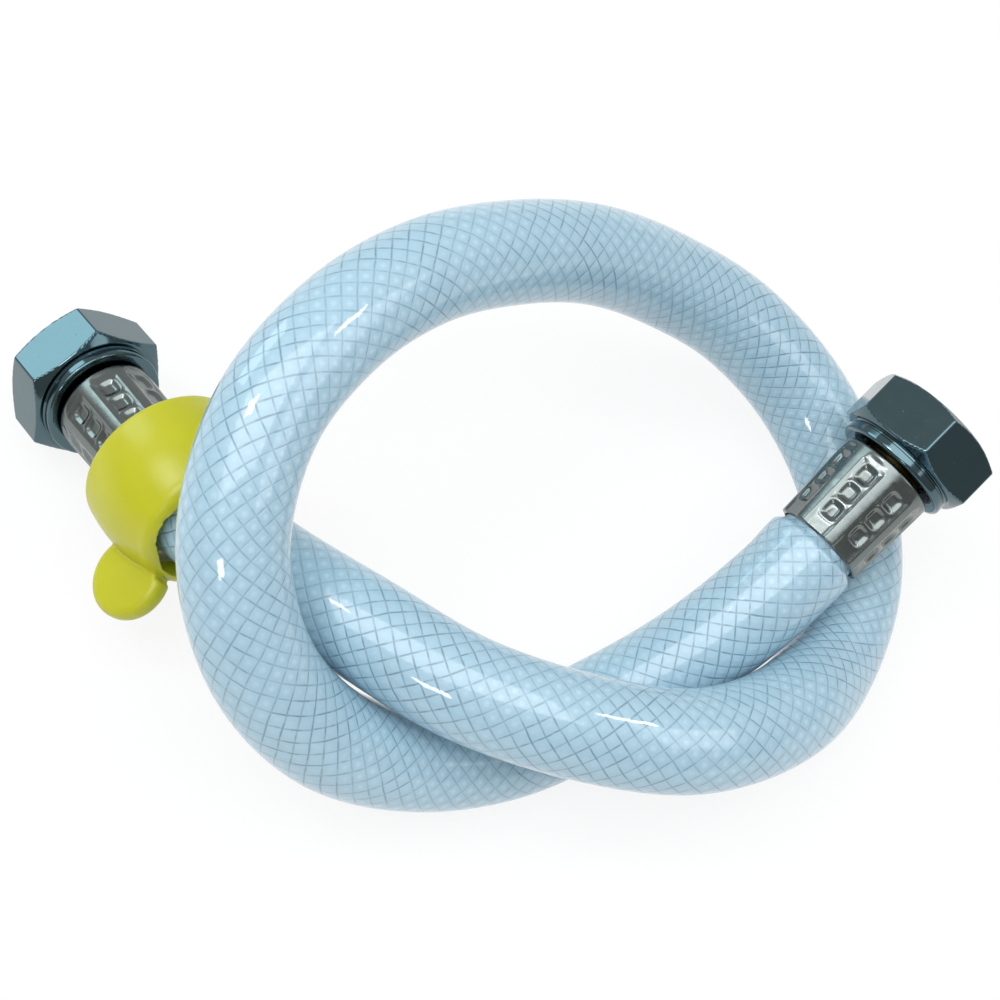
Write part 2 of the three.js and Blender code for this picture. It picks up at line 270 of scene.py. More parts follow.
@dataclass(frozen=True)
class PressedSteel(Finish):
    """Stainless sheet, drawn and crimped, with a soft rolled grain and small dings: bright only where it
    faces a lamp, its base colour being painted dark as a painted reflection of a dim room.
    """

    grain_mm: float = 0.9

    def detail(self, tree: bpy.types.NodeTree, shader: bpy.types.Node) -> None:
        """Adds the sheet's orange peel and an uneven polish."""
        spot = add_node(tree, "ShaderNodeTexCoord").outputs["Object"]
        scale = 1 / (self.grain_mm * 2 * MM)
        peel = add_node(tree, "ShaderNodeTexNoise", {"Vector": spot, "Scale": scale, "Detail": 1.0})
        relief = add_node(tree, "ShaderNodeBump", {"Height": peel.outputs[0], "Distance": 0.02 * MM})
        tree.links.new(relief.outputs[0], shader.inputs["Normal"])
        polish = add_node(tree, "ShaderNodeMapRange", {0: peel.outputs[0], 1: 0.3, 2: 0.8, 3: self.roughness,
                                                       4: self.roughness + 0.12})
        tree.links.new(polish.outputs[0], shader.inputs["Roughness"])


@dataclass(frozen=True)
class TurnedBrass(Finish):
    """Brass as it leaves the lathe, with a little tarnish."""

    tarnish: str = "#4c422c"

    def detail(self, tree: bpy.types.NodeTree, shader: bpy.types.Node) -> None:
        """Adds patches of tarnish."""
        # The brass and tarnish colours are painted dark, the painted shade of the narrow gap between nut and
        # ferrule; the tarnish patches lie at random
        spot = add_node(tree, "ShaderNodeTexCoord").outputs["Object"]
        patch = add_node(tree, "ShaderNodeTexNoise", {"Vector": spot, "Scale": 260.0, "Detail": 4.0})
        amount = add_node(tree, "ShaderNodeMapRange", {0: patch.outputs[0], 1: 0.45, 2: 0.7, 3: 0.0, 4: 0.7})
        mixed = add_node(tree, "ShaderNodeMix", {0: amount.outputs[0], 6: linear(self.colour),
                                                 7: linear(self.tarnish)}, data_type="RGBA")
        tree.links.new(mixed.outputs[2], shader.inputs["Base Color"])


@dataclass(frozen=True)
class BlackRubber(Finish):
    """Punched EPDM sheet: matt black with a fine tooth."""

    tooth_mm: float = 0.2

    def detail(self, tree: bpy.types.NodeTree, shader: bpy.types.Node) -> None:
        """Adds the tooth of the sheet."""
        spot = add_node(tree, "ShaderNodeTexCoord").outputs["Object"]
        tooth = add_node(tree, "ShaderNodeTexNoise", {"Vector": spot, "Scale": 1 / (self.tooth_mm * 2 * MM)})
        relief = add_node(tree, "ShaderNodeBump", {"Height": tooth.outputs[0], "Distance": 0.05 * MM})
        tree.links.new(relief.outputs[0], shader.inputs["Normal"])


@dataclass(frozen=True)
class MouldedYellow(Finish):
    """Soft polyethylene, injection moulded: yellow right through, with a satin skin and slight sink marks."""

    deep_colour: str = "#aba715"
    sink_mm: float = 0.08

    def detail(self, tree: bpy.types.NodeTree, shader: bpy.types.Node) -> None:
        """Adds slow colour drift, the satin grain of the mould and light that soaks into the plastic."""
        spot = add_node(tree, "ShaderNodeTexCoord").outputs["Object"]
        drift = add_node(tree, "ShaderNodeTexNoise", {"Vector": spot, "Scale": 60.0, "Detail": 2.0})
        amount = add_node(tree, "ShaderNodeMapRange", {0: drift.outputs[0], 1: 0.35, 2: 0.7, 3: 0.0, 4: 0.35})
        mixed = add_node(tree, "ShaderNodeMix", {0: amount.outputs[0], 6: linear(self.colour),
                                                 7: linear(self.deep_colour)}, data_type="RGBA")
        tree.links.new(mixed.outputs[2], shader.inputs["Base Color"])
        grain = add_node(tree, "ShaderNodeTexNoise", {"Vector": spot, "Scale": 1200.0, "Detail": 1.0})
        sinks = add_node(tree, "ShaderNodeTexNoise", {"Vector": spot, "Scale": 120.0, "Detail": 1.0})
        deep = self.sink_mm * 4 * MM
        soft = add_node(tree, "ShaderNodeBump", {"Height": sinks.outputs[0], "Distance": deep})
        relief = add_node(tree, "ShaderNodeBump", {"Height": grain.outputs[0], "Distance": 0.012 * MM,
                                                   "Normal": soft.outputs[0]})
        tree.links.new(relief.outputs[0], shader.inputs["Normal"])
        shader.inputs["Subsurface Weight"].default_value = 0.12
        shader.inputs["Subsurface Radius"].default_value = (1.0, 0.9, 0.25)
        shader.inputs["Subsurface Scale"].default_value = 1.5 * MM


# Mesh helpers


def smooth_step(value: float, low: float, high: float) -> float:
    """Returns 0 below low, 1 above high, and an even curve between them."""
    share = min(max((value - low) / (high - low), 0.0), 1.0)
    return share * share * (3 - 2 * share)


def polygon_radius(angle: float, sides: int, across_flats: float) -> float:
    """Distance from the centre to the side of a polygon that has a flat across +Y and a corner beside it.

    Args:
        angle: Direction from the centre, in radians from +X.
        sides: Number of sides.
        across_flats: Width over two flats, in any unit.

    Returns:
        The distance, in the same unit.
    """
    wedge = TAU / sides
    off = (angle - math.pi / 2 + wedge / 2) % wedge - wedge / 2
    return across_flats / 2 / math.cos(off)


def soft_least(first: float, second: float, blend: float) -> float:
    """Returns the lesser of two lengths, with the edge between them rounded over the blend length."""
    share = min(max(0.5 + 0.5 * (second - first) / blend, 0.0), 1.0)
    return second + (first - second) * share - blend * share * (1 - share)


def fill_in(profile: Profile, step: float) -> list[tuple[float, float]]:
    """Adds points along each side of a closed profile so that none is longer than the step.

    Args:
        profile: Corners as radius and height.
        step: Longest side that is left.

    Returns:
        The finer profile.
    """
    points: list[tuple[float, float]] = []
    for (r0, z0), (r1, z1) in zip(profile, [*profile[1:], profile[0]], strict=True):
        count = max(1, math.ceil(math.hypot(r1 - r0, z1 - z0) / step))
        points += [(r0 + (r1 - r0) * i / count, z0 + (z1 - z0) * i / count) for i in range(count)]
    return points


def sheet(columns: int, rows: int) -> bmesh.types.BMesh:
    """Makes a flat sheet to be rolled up, which knows its place in the layers column and row.

    Args:
        columns: Faces along X.
        rows: Faces along Y.

    Returns:
        The sheet as a bmesh.
    """
    bm = bmesh.new()
    column = bm.verts.layers.int.new("column")
    row = bm.verts.layers.int.new("row")
    bmesh.ops.create_grid(bm, x_segments=columns, y_segments=rows, size=0.5)
    for vert in bm.verts:
        vert[column] = round((vert.co.x + 0.5) * columns)
        vert[row] = round((vert.co.y + 0.5) * rows)
    return bm


def revolve(profile: Profile, steps: int) -> bmesh.types.BMesh:
    """Rolls a sheet about Z into a ring with a closed profile.

    Args:
        profile: Corners as radius and height in millimetres, none of them on the axis.
        steps: Number of steps round the full turn.

    Returns:
        The ring as a bmesh, in millimetres.
    """
    bm = sheet(steps, len(profile))
    column, row = bm.verts.layers.int["column"], bm.verts.layers.int["row"]
    for vert in bm.verts:
        radius, height = profile[vert[row] % len(profile)]
        angle = TAU * vert[column] / steps
        vert.co = (radius * math.cos(angle), radius * math.sin(angle), height)
    bmesh.ops.remove_doubles(bm, verts=bm.verts, dist=1e-4)
    return bm


def reshape(bm: bmesh.types.BMesh, radius_at: Callable[[float, float, float], float]) -> None:
    """Moves every vertex in or out from the Z axis.

    Args:
        bm: Mesh in millimetres about Z.
        radius_at: New radius from the old radius, the angle from +X and the height.
    """
    for vert in bm.verts:
        radius = math.hypot(vert.co.x, vert.co.y)
        angle = math.atan2(vert.co.y, vert.co.x)
        new = radius_at(radius, angle, vert.co.z)
        if radius > 1e-6 and new != radius:
            vert.co.x *= new / radius
            vert.co.y *= new / radius


def finish_piece(
    bm: bmesh.types.BMesh, name: str, place: Matrix, material: bpy.types.Material, sharp_degrees: float = 40
) -> bpy.types.Object:
    """Turns a mesh in millimetres into an object in metres, in its place.

    Args:
        bm: Mesh, which is used up.
        name: Name of the piece.
        place: Where the piece's own axes lie, in millimetres.
        material: Its finish.
        sharp_degrees: Edges that fold more than this stay sharp.

    Returns:
        The object, at the origin, with its place in its mesh.
    """
    bmesh.ops.transform(bm, matrix=Matrix.Scale(MM, 4) @ place, verts=bm.verts)
    bmesh.ops.recalc_face_normals(bm, faces=bm.faces)
    for face in bm.faces:
        face.smooth = True
    for edge in bm.edges:
        edge.smooth = not (edge.is_manifold and edge.calc_face_angle(0) > math.radians(sharp_degrees))
    mesh = bpy.data.meshes.new(name)
    bm.to_mesh(mesh)
    bm.free()
    mesh.materials.append(material)
    piece = bpy.data.objects.new(name, mesh)
    bpy.context.scene.collection.objects.link(piece)
    return piece


def stand_for(piece: bpy.types.Object, node: str, body: Body) -> bpy.types.Object:
    """Puts a piece on its body in place of its solid."""
    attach(piece, body.value)
    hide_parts(node)
    log.info("%s: %d faces", piece.name, len(piece.data.polygons))
    return piece


# The route


class Route:
    """The hose's centre line: a centripetal spline through the route's points, as the solids follow it."""

    def __init__(self, corners: Sequence[Sequence[float]], per_span: int = 60) -> None:
        """Samples the spline closely and measures it.

        Args:
            corners: Points that the spline passes through, in millimetres.
            per_span: Samples between two corners.
        """
        points = [Vector(c) for c in corners]
        points = [2 * points[0] - points[1], *points, 2 * points[-1] - points[-2]]
        self.samples: list[Vector] = []
        for i in range(1, len(points) - 2):
            self.samples += [self.between(points[i - 1 : i + 3], k / per_span) for k in range(per_span)]
        self.samples.append(points[-2])
        self.distances = [0.0]
        for a, b in zip(self.samples, self.samples[1:]):
            self.distances.append(self.distances[-1] + (b - a).length)
        self.length = self.distances[-1]

    @staticmethod
    def between(four: Sequence[Vector], share: float) -> Vector:
        """Point on the spline between the middle two of four points.

        Args:
            four: Four points in a row.
            share: How far along, from 0 to 1.

        Returns:
            The point.
        """
        d0, d1, d2 = (max((four[k + 1] - four[k]).length, 1e-4) ** 0.5 for k in range(3))
        into = ((four[1] - four[0]) / d0 - (four[2] - four[0]) / (d0 + d1) + (four[2] - four[1]) / d1) * d1
        out = ((four[2] - four[1]) / d1 - (four[3] - four[1]) / (d1 + d2) + (four[3] - four[2]) / d2) * d1
        t, t2, t3 = share, share**2, share**3
        start, end = four[1], four[2]
        square = 3 * (end - start) - 2 * into - out
        cube = 2 * (start - end) + into + out
        return start + into * t + square * t2 + cube * t3

    def at(self, distance: float) -> Vector:
        """Point at a distance in millimetres along the line."""
        if distance <= 0:
            return self.samples[0].copy()
        for i in range(1, len(self.samples)):
            if self.distances[i] >= distance:
                span = self.distances[i] - self.distances[i - 1]
                return self.samples[i - 1].lerp(self.samples[i], (distance - self.distances[i - 1]) / span)
        return self.samples[-1].copy()

    def end_place(self, first: bool) -> Matrix:
        """Axes at an end: zero on the cut end and +Z the way out.

        Args:
            first: True for the end with the key.

        Returns:
            The matrix, in millimetres.
        """
        corners = ROUTE_MM[:2] if first else ROUTE_MM[:-3:-1]
        cut, inside = Vector(corners[0]), Vector(corners[1])
        turn = Vector((0, 0, 1)).rotation_difference((cut - inside).normalized())
        return Matrix.Translation(cut) @ turn.to_matrix().to_4x4()


# The pieces


@dataclass
class Hose:
    """The hose in one length: crimped under each ferrule, hollow all the way."""

    route: Route
    outer_radius: float = 8.75
    bore_radius: float = 6.25
    crimped_radius: float = 7.5
    crimp_length: float = 16.5
    swell_length: float = 1.8
    bulge: float = 0.12
    bulge_from_crimp: float = 4.0
    bulge_spread: float = 2.2
    sides: int = 64
    step: float = 1.3
    fine_step: float = 0.3

    def radius_at(self, distance: float) -> float:
        """Outer radius at a distance along the hose, in millimetres."""
        near = min(distance, self.route.length - distance)
        swell = smooth_step(near, self.crimp_length, self.crimp_length + self.swell_length)
        from_bulge = near - self.crimp_length - self.bulge_from_crimp
        over = self.bulge * math.exp(-((from_bulge / self.bulge_spread) ** 2))
        return self.crimped_radius + (self.outer_radius - self.crimped_radius) * swell + over

    def stations(self) -> list[float]:
        """Distances of the rings, closer together where the hose swells out of a ferrule."""
        total, found = self.route.length, [0.0]
        while found[-1] < total - 1e-6:
            near = min(found[-1], total - found[-1])
            fine = self.crimp_length - 1 <= near <= self.crimp_length + self.bulge_from_crimp
            found.append(min(found[-1] + (self.fine_step if fine else self.step), total))
        return found

    def build(self) -> bmesh.types.BMesh:
        """Rolls a sheet round the route, over the outside and back through the bore.

        Returns:
            The tube in millimetres, with a map named Braid: turns round it, and millimetres along it.
        """
        outside = self.stations()
        inside = [*outside[:0:-3], 0.0]
        rings = [(d, self.radius_at(d)) for d in outside] + [(d, self.bore_radius) for d in inside]
        rings.append(rings[0])
        axes = self.axes_at([d for d, _ in rings])
        bm = sheet(self.sides, len(rings) - 1)
        column, row = bm.verts.layers.int["column"], bm.verts.layers.int["row"]
        uv = bm.loops.layers.uv.new("Braid")
        for face in bm.faces:
            for loop in face.loops:
                loop[uv].uv = (loop.vert[column] / self.sides, rings[loop.vert[row]][0])
        for vert in bm.verts:
            radius = rings[vert[row]][1]
            centre, side, up = axes[vert[row]]
            angle = TAU * vert[column] / self.sides
            vert.co = centre + radius * (math.cos(angle) * side + math.sin(angle) * up)
        bmesh.ops.remove_doubles(bm, verts=bm.verts, dist=1e-4)
        return bm

    def axes_at(self, distances: Sequence[float]) -> list[tuple[Vector, Vector, Vector]]:
        """Centre and two cross axes of each ring, carried along the route without twist.

        Args:
            distances: Where the rings are, in order along the tube's surface.

        Returns:
            Centre, side and up for each ring.
        """
        fine = sorted(set(distances))
        centres = {d: self.route.at(d) for d in fine}
        frames: dict[float, tuple[Vector, Vector, Vector]] = {}
        side = Vector((0, 0, 1))
        for i, d in enumerate(fine):
            before, after = centres[fine[max(i - 1, 0)]], centres[fine[min(i + 1, len(fine) - 1)]]
            tangent = (after - before).normalized()
            side = (side - tangent * side.dot(tangent)).normalized()
            frames[d] = (centres[d], side, tangent.cross(side))
        return [frames[d] for d in distances]

    def dress(self, material: bpy.types.Material) -> bpy.types.Object:
        """Builds the hose and puts it in place of its solid."""
        piece = finish_piece(self.build(), "Hose", Matrix.Identity(4), material, 60)
        return stand_for(piece, "hose", Body.HOSE)

    def path(self) -> list[tuple[float, float, float]]:
        """The centre line in metres, close enough together to have its length."""
        count = round(self.route.length / 2)
        return [tuple(self.route.at(self.route.length * i / count) * MM) for i in range(count + 1)]


@dataclass
class SwivelNut:
    """Hexagon chamfered at both ends, a turned neck ring behind it and a pipe thread inside."""

    across_flats: float = 24.0
    back: float = 1.9
    hex_back: float = 4.2
    mouth: float = 14.1
    face_radius: float = 11.7
    back_face_radius: float = 11.55
    neck_radius: float = 10.9
    lip_radius: float = 6.9
    lip_face: float = 5.1
    thread_minor: float = 9.315
    thread_pitch: float = 1.814
    thread_depth: float = 0.55
    mouth_chamfer: float = 1.1
    edge_round: float = 0.22
    steps: int = 336
    roll_degrees: float = 0.0

    def profile(self) -> list[tuple[float, float]]:
        """Section of the nut, up the outside and down the bore."""
        corner = self.across_flats / 2 / math.cos(math.pi / 6)
        neck, low = self.neck_radius, self.back
        outside = [(neck - 0.6, low), (neck - 0.22, low + 0.1), (neck - 0.05, low + 0.3), (neck, low + 0.55)]
        outside += [(neck, self.hex_back - 0.75), (neck - 0.3, self.hex_back - 0.55)]
        outside += [(neck - 0.3, self.hex_back - 0.25), (neck, self.hex_back)]
        outside += [(self.back_face_radius, self.hex_back + 0.02), (corner, self.hex_back + 0.25)]
        outside += [(corner, self.mouth - 0.1), (self.face_radius - 0.25, self.mouth)]
        minor, lead = self.thread_minor, self.mouth_chamfer
        inside = [(minor + lead, self.mouth), (minor, self.mouth - lead), (minor, self.lip_face)]
        inside += [(self.lip_radius, self.lip_face), (self.lip_radius, self.back)]
        return fill_in([*outside, *inside], 0.2)

    def hexagon_at(self, angle: float, height: float) -> float:
        """Distance from the axis to the hexagon's skin, with its corners and chamfers rounded."""
        flat = polygon_radius(angle, 6, self.across_flats)
        corner = self.across_flats / 2 / math.cos(math.pi / 6)
        slope = math.tan(math.radians(60))
        limit = soft_least(flat, corner - 0.06, self.edge_round / 2)
        limit = soft_least(limit, self.face_radius + (self.mouth - height) * slope, self.edge_round)
        return soft_least(limit, self.back_face_radius + (height - self.hex_back) * slope, self.edge_round)

    def radius_at(self, radius: float, angle: float, height: float) -> float:
        """Cuts the hexagon, its chamfers and the thread into the turned blank."""
        if radius > self.neck_radius + 0.5 and height > self.hex_back:
            return min(radius, self.hexagon_at(angle, height))
        inside = self.lip_radius + 1 < radius < self.thread_minor + 0.01
        if inside and self.lip_face + 0.6 < height < self.mouth - 0.9:
            phase = (height / self.thread_pitch + angle / TAU) % 1.0
            return radius + self.thread_depth * (1 - abs(2 * phase - 1)) ** 0.8
        return radius

    def gather_at_corners(self, bm: bmesh.types.BMesh) -> None:
        """Turns the vertices towards the hexagon's corners, which are rounded and need more of them."""
        for vert in bm.verts:
            angle = math.atan2(vert.co.y, vert.co.x)
            off = (angle + math.pi / 6) % (math.pi / 3) - math.pi / 6
            turn = math.copysign(math.pi / 6 * (abs(off) / (math.pi / 6)) ** 1.7, off) - off
            vert.co.xy = vert.co.xy @ Matrix.Rotation(-turn, 2)

    def dress(
        self, name: str, node: str, body: Body, end: Matrix, material: bpy.types.Material
    ) -> bpy.types.Object:
        """Builds the nut on an end of the hose and puts it in place of its solid."""
        bm = revolve(self.profile(), self.steps)
        self.gather_at_corners(bm)
        reshape(bm, self.radius_at)
        turned = end @ Matrix.Rotation(math.radians(self.roll_degrees), 4, "Z")
        return stand_for(finish_piece(bm, name, turned, material, 35), node, body)


@dataclass
class Ferrule:
    """Steel cup crimped in eight panels, each sunk inside a soft raised rim, with three square dents."""

    face: float = 1.25
    low: float = -16.2
    nut_radius: float = 9.15
    hose_radius: float = 8.65
    bore_radius: float = 7.8
    neck_hole: float = 6.4
    wall: float = 0.7
    edge: float = 0.5
    panels: int = 8
    panel_sink: float = 0.3
    dish_depth: float = 0.3
    dish_from: float = 0.5
    dish_to: float = 0.86
    dent_opening: float = 1.85
    dent_floor: float = 0.8
    dent_depth: float = 0.4
    dent_lip: float = 0.1
    dent_lip_width: float = 0.35
    dent_places: tuple[float, ...] = (-3.3, -7.4, -11.5)
    steps: int = 320
    roll_degrees: float = 4.0

    def profile(self) -> list[tuple[float, float]]:
        """Section of the cup, up the outside and down the bore."""
        low, top = self.low, self.face
        outside = [(self.hose_radius - 0.2, low), (self.hose_radius, low + 0.2)]
        outside += [
            (self.nut_radius - self.edge * (1 - math.cos(a)), top - self.edge * (1 - math.sin(a)))
            for a in (math.radians(d) for d in (0, 18, 36, 54, 72, 90))
        ]
        floor = top - self.wall
        inside = [(self.neck_hole, top), (self.neck_hole, floor)]
        inside += [(self.bore_radius, floor), (self.bore_radius, low)]
        return fill_in([*outside, *inside], 0.2)

    def radius_at(self, radius: float, angle: float, height: float) -> float:
        """Sinks the panels and presses the dents."""
        if radius < self.bore_radius + 0.3:
            return radius
        wedge = TAU / self.panels
        off = (angle - math.pi / 2 + wedge / 2) % wedge - wedge / 2
        across = abs(radius * math.sin(off))
        half = radius * math.sin(wedge / 2)
        rounded_end = smooth_step(height, self.face - self.edge - 1.3, self.face - self.edge - 0.2)
        chord = polygon_radius(angle, self.panels, 2 * (radius - self.panel_sink)) - radius
        # The rim of a panel stands up, along its neighbours and across its end below the nut
        in_panel = max(across / half, 1 - (self.face - self.edge - 0.9 - height) / half)
        dish = -self.dish_depth * (1 - smooth_step(in_panel, self.dish_from, self.dish_to))
        new = radius + (chord + dish) * (1 - rounded_end)
        for place in self.dent_places:
            from_centre = (across**4 + (height - place) ** 4) ** 0.25
            new -= self.dent_depth * (1 - smooth_step(from_centre, self.dent_floor, self.dent_opening))
            new += self.dent_lip * math.exp(-(((from_centre - self.dent_opening) / self.dent_lip_width) ** 2))
        return min(new, radius)

    def dress(self, name: str, node: str, end: Matrix, material: bpy.types.Material) -> bpy.types.Object:
        """Builds the ferrule on an end of the hose and puts it in place of its solid."""
        bm = revolve(self.profile(), self.steps)
        reshape(bm, self.radius_at)
        turned = end @ Matrix.Rotation(math.radians(self.roll_degrees), 4, "Z")
        return stand_for(finish_piece(bm, name, turned, material, 50), node, Body.HOSE)


@dataclass
class Stem:
    """Turned stem: a flange held in the nut, a neck, and a ribbed tail in the hose."""

    bore: float = 4.25
    tail_radius: float = 5.95
    rib_depth: float = 0.5
    rib_pitch: float = 4.2
    ribs: int = 4
    nose: float = 1.5
    neck_radius: float = 6.0
    flange_radius: float = 8.915
    flange_back: float = 5.4
    flange_face: float = 7.2
    steps: int = 96

    def dress(self, name: str, node: str, end: Matrix, material: bpy.types.Material) -> bpy.types.Object:
        """Builds the stem on an end of the hose and puts it in place of its solid."""
        low = -self.ribs * self.rib_pitch
        root = self.tail_radius - self.rib_depth
        profile = [(self.bore, low - self.nose), (root, low - self.nose)]
        for i in range(self.ribs):
            start = low + i * self.rib_pitch
            profile += [(root, start), (self.tail_radius, start + self.rib_pitch * 0.8)]
        profile += [(root, 0), (self.neck_radius, 0), (self.neck_radius, self.flange_back)]
        profile += [(self.flange_radius, self.flange_back), (self.flange_radius, self.flange_face - 0.15)]
        profile += [(self.flange_radius - 0.15, self.flange_face), (self.bore + 0.3, self.flange_face)]
        profile += [(self.bore, self.flange_face - 0.3)]
        bm = revolve(profile, self.steps)
        return stand_for(finish_piece(bm, name, end, material, 25), node, Body.HOSE)


@dataclass
class Washer:
    """Flat rubber ring that lies on the stem's flange."""

    bore: float = 5.5
    outer: float = 8.915
    back: float = 7.5
    face: float = 10.0
    edge: float = 0.18
    steps: int = 96

    def dress(self, name: str, node: str, end: Matrix, material: bpy.types.Material) -> bpy.types.Object:
        """Builds the washer on an end of the hose and puts it in place of its solid."""
        cut = self.edge
        profile = [(self.bore, self.back), (self.outer, self.back), (self.outer, self.face - cut)]
        profile += [(self.outer - cut, self.face), (self.bore + cut, self.face), (self.bore, self.face - cut)]
        bm = revolve(profile, self.steps)
        return stand_for(finish_piece(bm, name, end, material, 30), node, Body.HOSE)


@dataclass
class HandKey:
    """Moulded key: a bell with a hexagon socket for the nut, a hexagon hole for the hose and two wings."""

    route: Route
    length: float = 18.0
    rear_round: float = 2.2
    side: Profile = (
        (12.7, 2.2), (13.45, 4.3), (14.05, 6.2), (14.5, 8.1), (14.77, 9.7), (14.92, 11.1), (14.99, 12.6),
        (14.97, 14.5), (14.88, 16.3), (14.79, 17.6),
    )
    socket_across_flats: float = 24.4
    socket_depth: float = 9.5
    relief_radius: float = 11.8
    relief_depth: float = 13.5
    hole_across_flats: float = 20.0
    wing_radius: float = 7.45
    wing_thickness: float = 4.0
    wing_round: float = 1.6
    wing_centre: float = 16.2
    wing_from_rear: float = 5.0
    along_hose: float = 35.0
    share_of_bend: float = 0.5
    rearward: Vector = field(default_factory=lambda: Vector((0.701, -0.653, 0.278)))
    wing_direction: Vector = field(default_factory=lambda: Vector((0.538, 0.683, 0.495)))
    voxel: float = 0.33

    def place(self) -> Matrix:
        """Where the key hangs: rear face at zero, mouth along +Z and wings along X, in millimetres."""
        forward = -self.rearward.normalized()
        flat = forward.cross(self.wing_direction).normalized()
        wings = flat.cross(forward)
        line = self.route.end_place(first=True) @ Vector((0, 0, -self.along_hose))
        spot = line.lerp(self.route.at(self.along_hose), self.share_of_bend)
        turn = Matrix((wings, flat, forward)).transposed().to_4x4()
        return Matrix.Translation(spot) @ turn

    def bell(self) -> bmesh.types.BMesh:
        """The bell with its hexagon socket, the round relief below it and the hexagon hole."""
        curve, rear = self.rear_round, self.side[0][0]
        outside = [
            (rear - curve * (1 - math.cos(a)), curve * (1 - math.sin(a)))
            for a in (math.radians(d) for d in (90, 72, 54, 36, 18))
        ]
        outside += [*self.side, (self.side[-1][0] - 0.4, self.length)]
        floor, step = self.length - self.relief_depth, self.length - self.socket_depth
        socket, hole, relief = self.socket_across_flats / 2, self.hole_across_flats / 2, self.relief_radius
        inside = [(socket, self.length), (socket, step), (relief, step), (relief, floor)]
        inside += [(hole, floor), (hole, 0)]
        bm = revolve(fill_in([*outside, *inside], 0.8), 144)

        def hexagons(radius: float, angle: float, height: float) -> float:
            """Pushes the round bores out to their hexagons."""
            inner = polygon_radius(angle, 6, self.hole_across_flats)
            outer = polygon_radius(angle, 6, self.socket_across_flats)
            if radius <= hole + 1e-3:
                return inner
            if abs(height - floor) < 1e-3 and radius < relief:
                return inner + (relief - inner) * (radius - hole) / (relief - hole)
            if abs(height - step) < 1e-3 and radius < socket - 1e-3:
                return relief + (outer - relief) * (radius - relief) / (socket - relief)
            if abs(radius - socket) < 1e-3 and height > step - 1e-3:
                return outer
            return radius

        reshape(bm, hexagons)
        return bm

    def wing(self, side: int) -> bmesh.types.BMesh:
        """One wing: a rounded disc that stands on the bell, flat across Y."""
        bm = bmesh.new()
        bmesh.ops.create_cone(
            bm, cap_ends=True, segments=72, radius1=self.wing_radius, radius2=self.wing_radius,
            depth=self.wing_thickness,
        )
        rims = [e for e in bm.edges if abs(e.verts[0].co.z - e.verts[1].co.z) < 1e-6]
        bmesh.ops.bevel(
            bm, geom=rims, offset=self.wing_round, offset_type="OFFSET", segments=5, profile=0.5,
            affect="EDGES", material=-1,
        )
        turn = Matrix.Rotation(math.pi / 2, 4, "X")
        shift = Matrix.Translation((side * self.wing_centre, 0, self.wing_from_rear))
        bmesh.ops.transform(bm, matrix=shift @ turn, verts=bm.verts)
        return bm

    def dress(self, material: bpy.types.Material) -> bpy.types.Object:
        """Moulds the bell and wings into one skin and puts the key in place of its solid."""
        mesh = bpy.data.meshes.new("Key_blank")
        joined = self.bell()
        for side in (-1, 1):
            part = self.wing(side)
            part_mesh = bpy.data.meshes.new("Wing_blank")
            # The inner edge of a wing would show inside the socket, so it is cut off there
            bmesh.ops.bisect_plane(part, geom=[*part.verts, *part.edges, *part.faces],
                                   plane_co=(side * (self.relief_radius + 0.5), 0, 0),
                                   plane_no=(-side, 0, 0), clear_outer=True)
            bmesh.ops.holes_fill(part, edges=[e for e in part.edges if e.is_boundary])
            part.to_mesh(part_mesh)
            part.free()
            joined.from_mesh(part_mesh)
            bpy.data.meshes.remove(part_mesh)
        joined.to_mesh(mesh)
        joined.free()
        blank = bpy.data.objects.new("Key_blank", mesh)
        bpy.context.scene.collection.objects.link(blank)
        remesh = blank.modifiers.new("One skin", "REMESH")
        remesh.mode = "VOXEL"
        remesh.voxel_size = self.voxel
        smooth = blank.modifiers.new("Soft edges", "SMOOTH")
        smooth.factor = 0.5
        smooth.iterations = 4
        bpy.context.view_layer.update()
        ready = bmesh.new()
        ready.from_object(blank, bpy.context.evaluated_depsgraph_get())
        bpy.data.objects.remove(blank)
        piece = finish_piece(ready, "Hand_key", self.place(), material, 180)
        return stand_for(piece, "hand_key", Body.KEY)


# The studio


@dataclass(frozen=True)
class Lamp:
    """A rectangular lamp, placed from the object's middle along directions of the picture."""

    name: str
    right: float
    up: float
    towards: float
    distance: float
    width: float
    height: float
    brightness: float
    colour: str = "#ffffff"


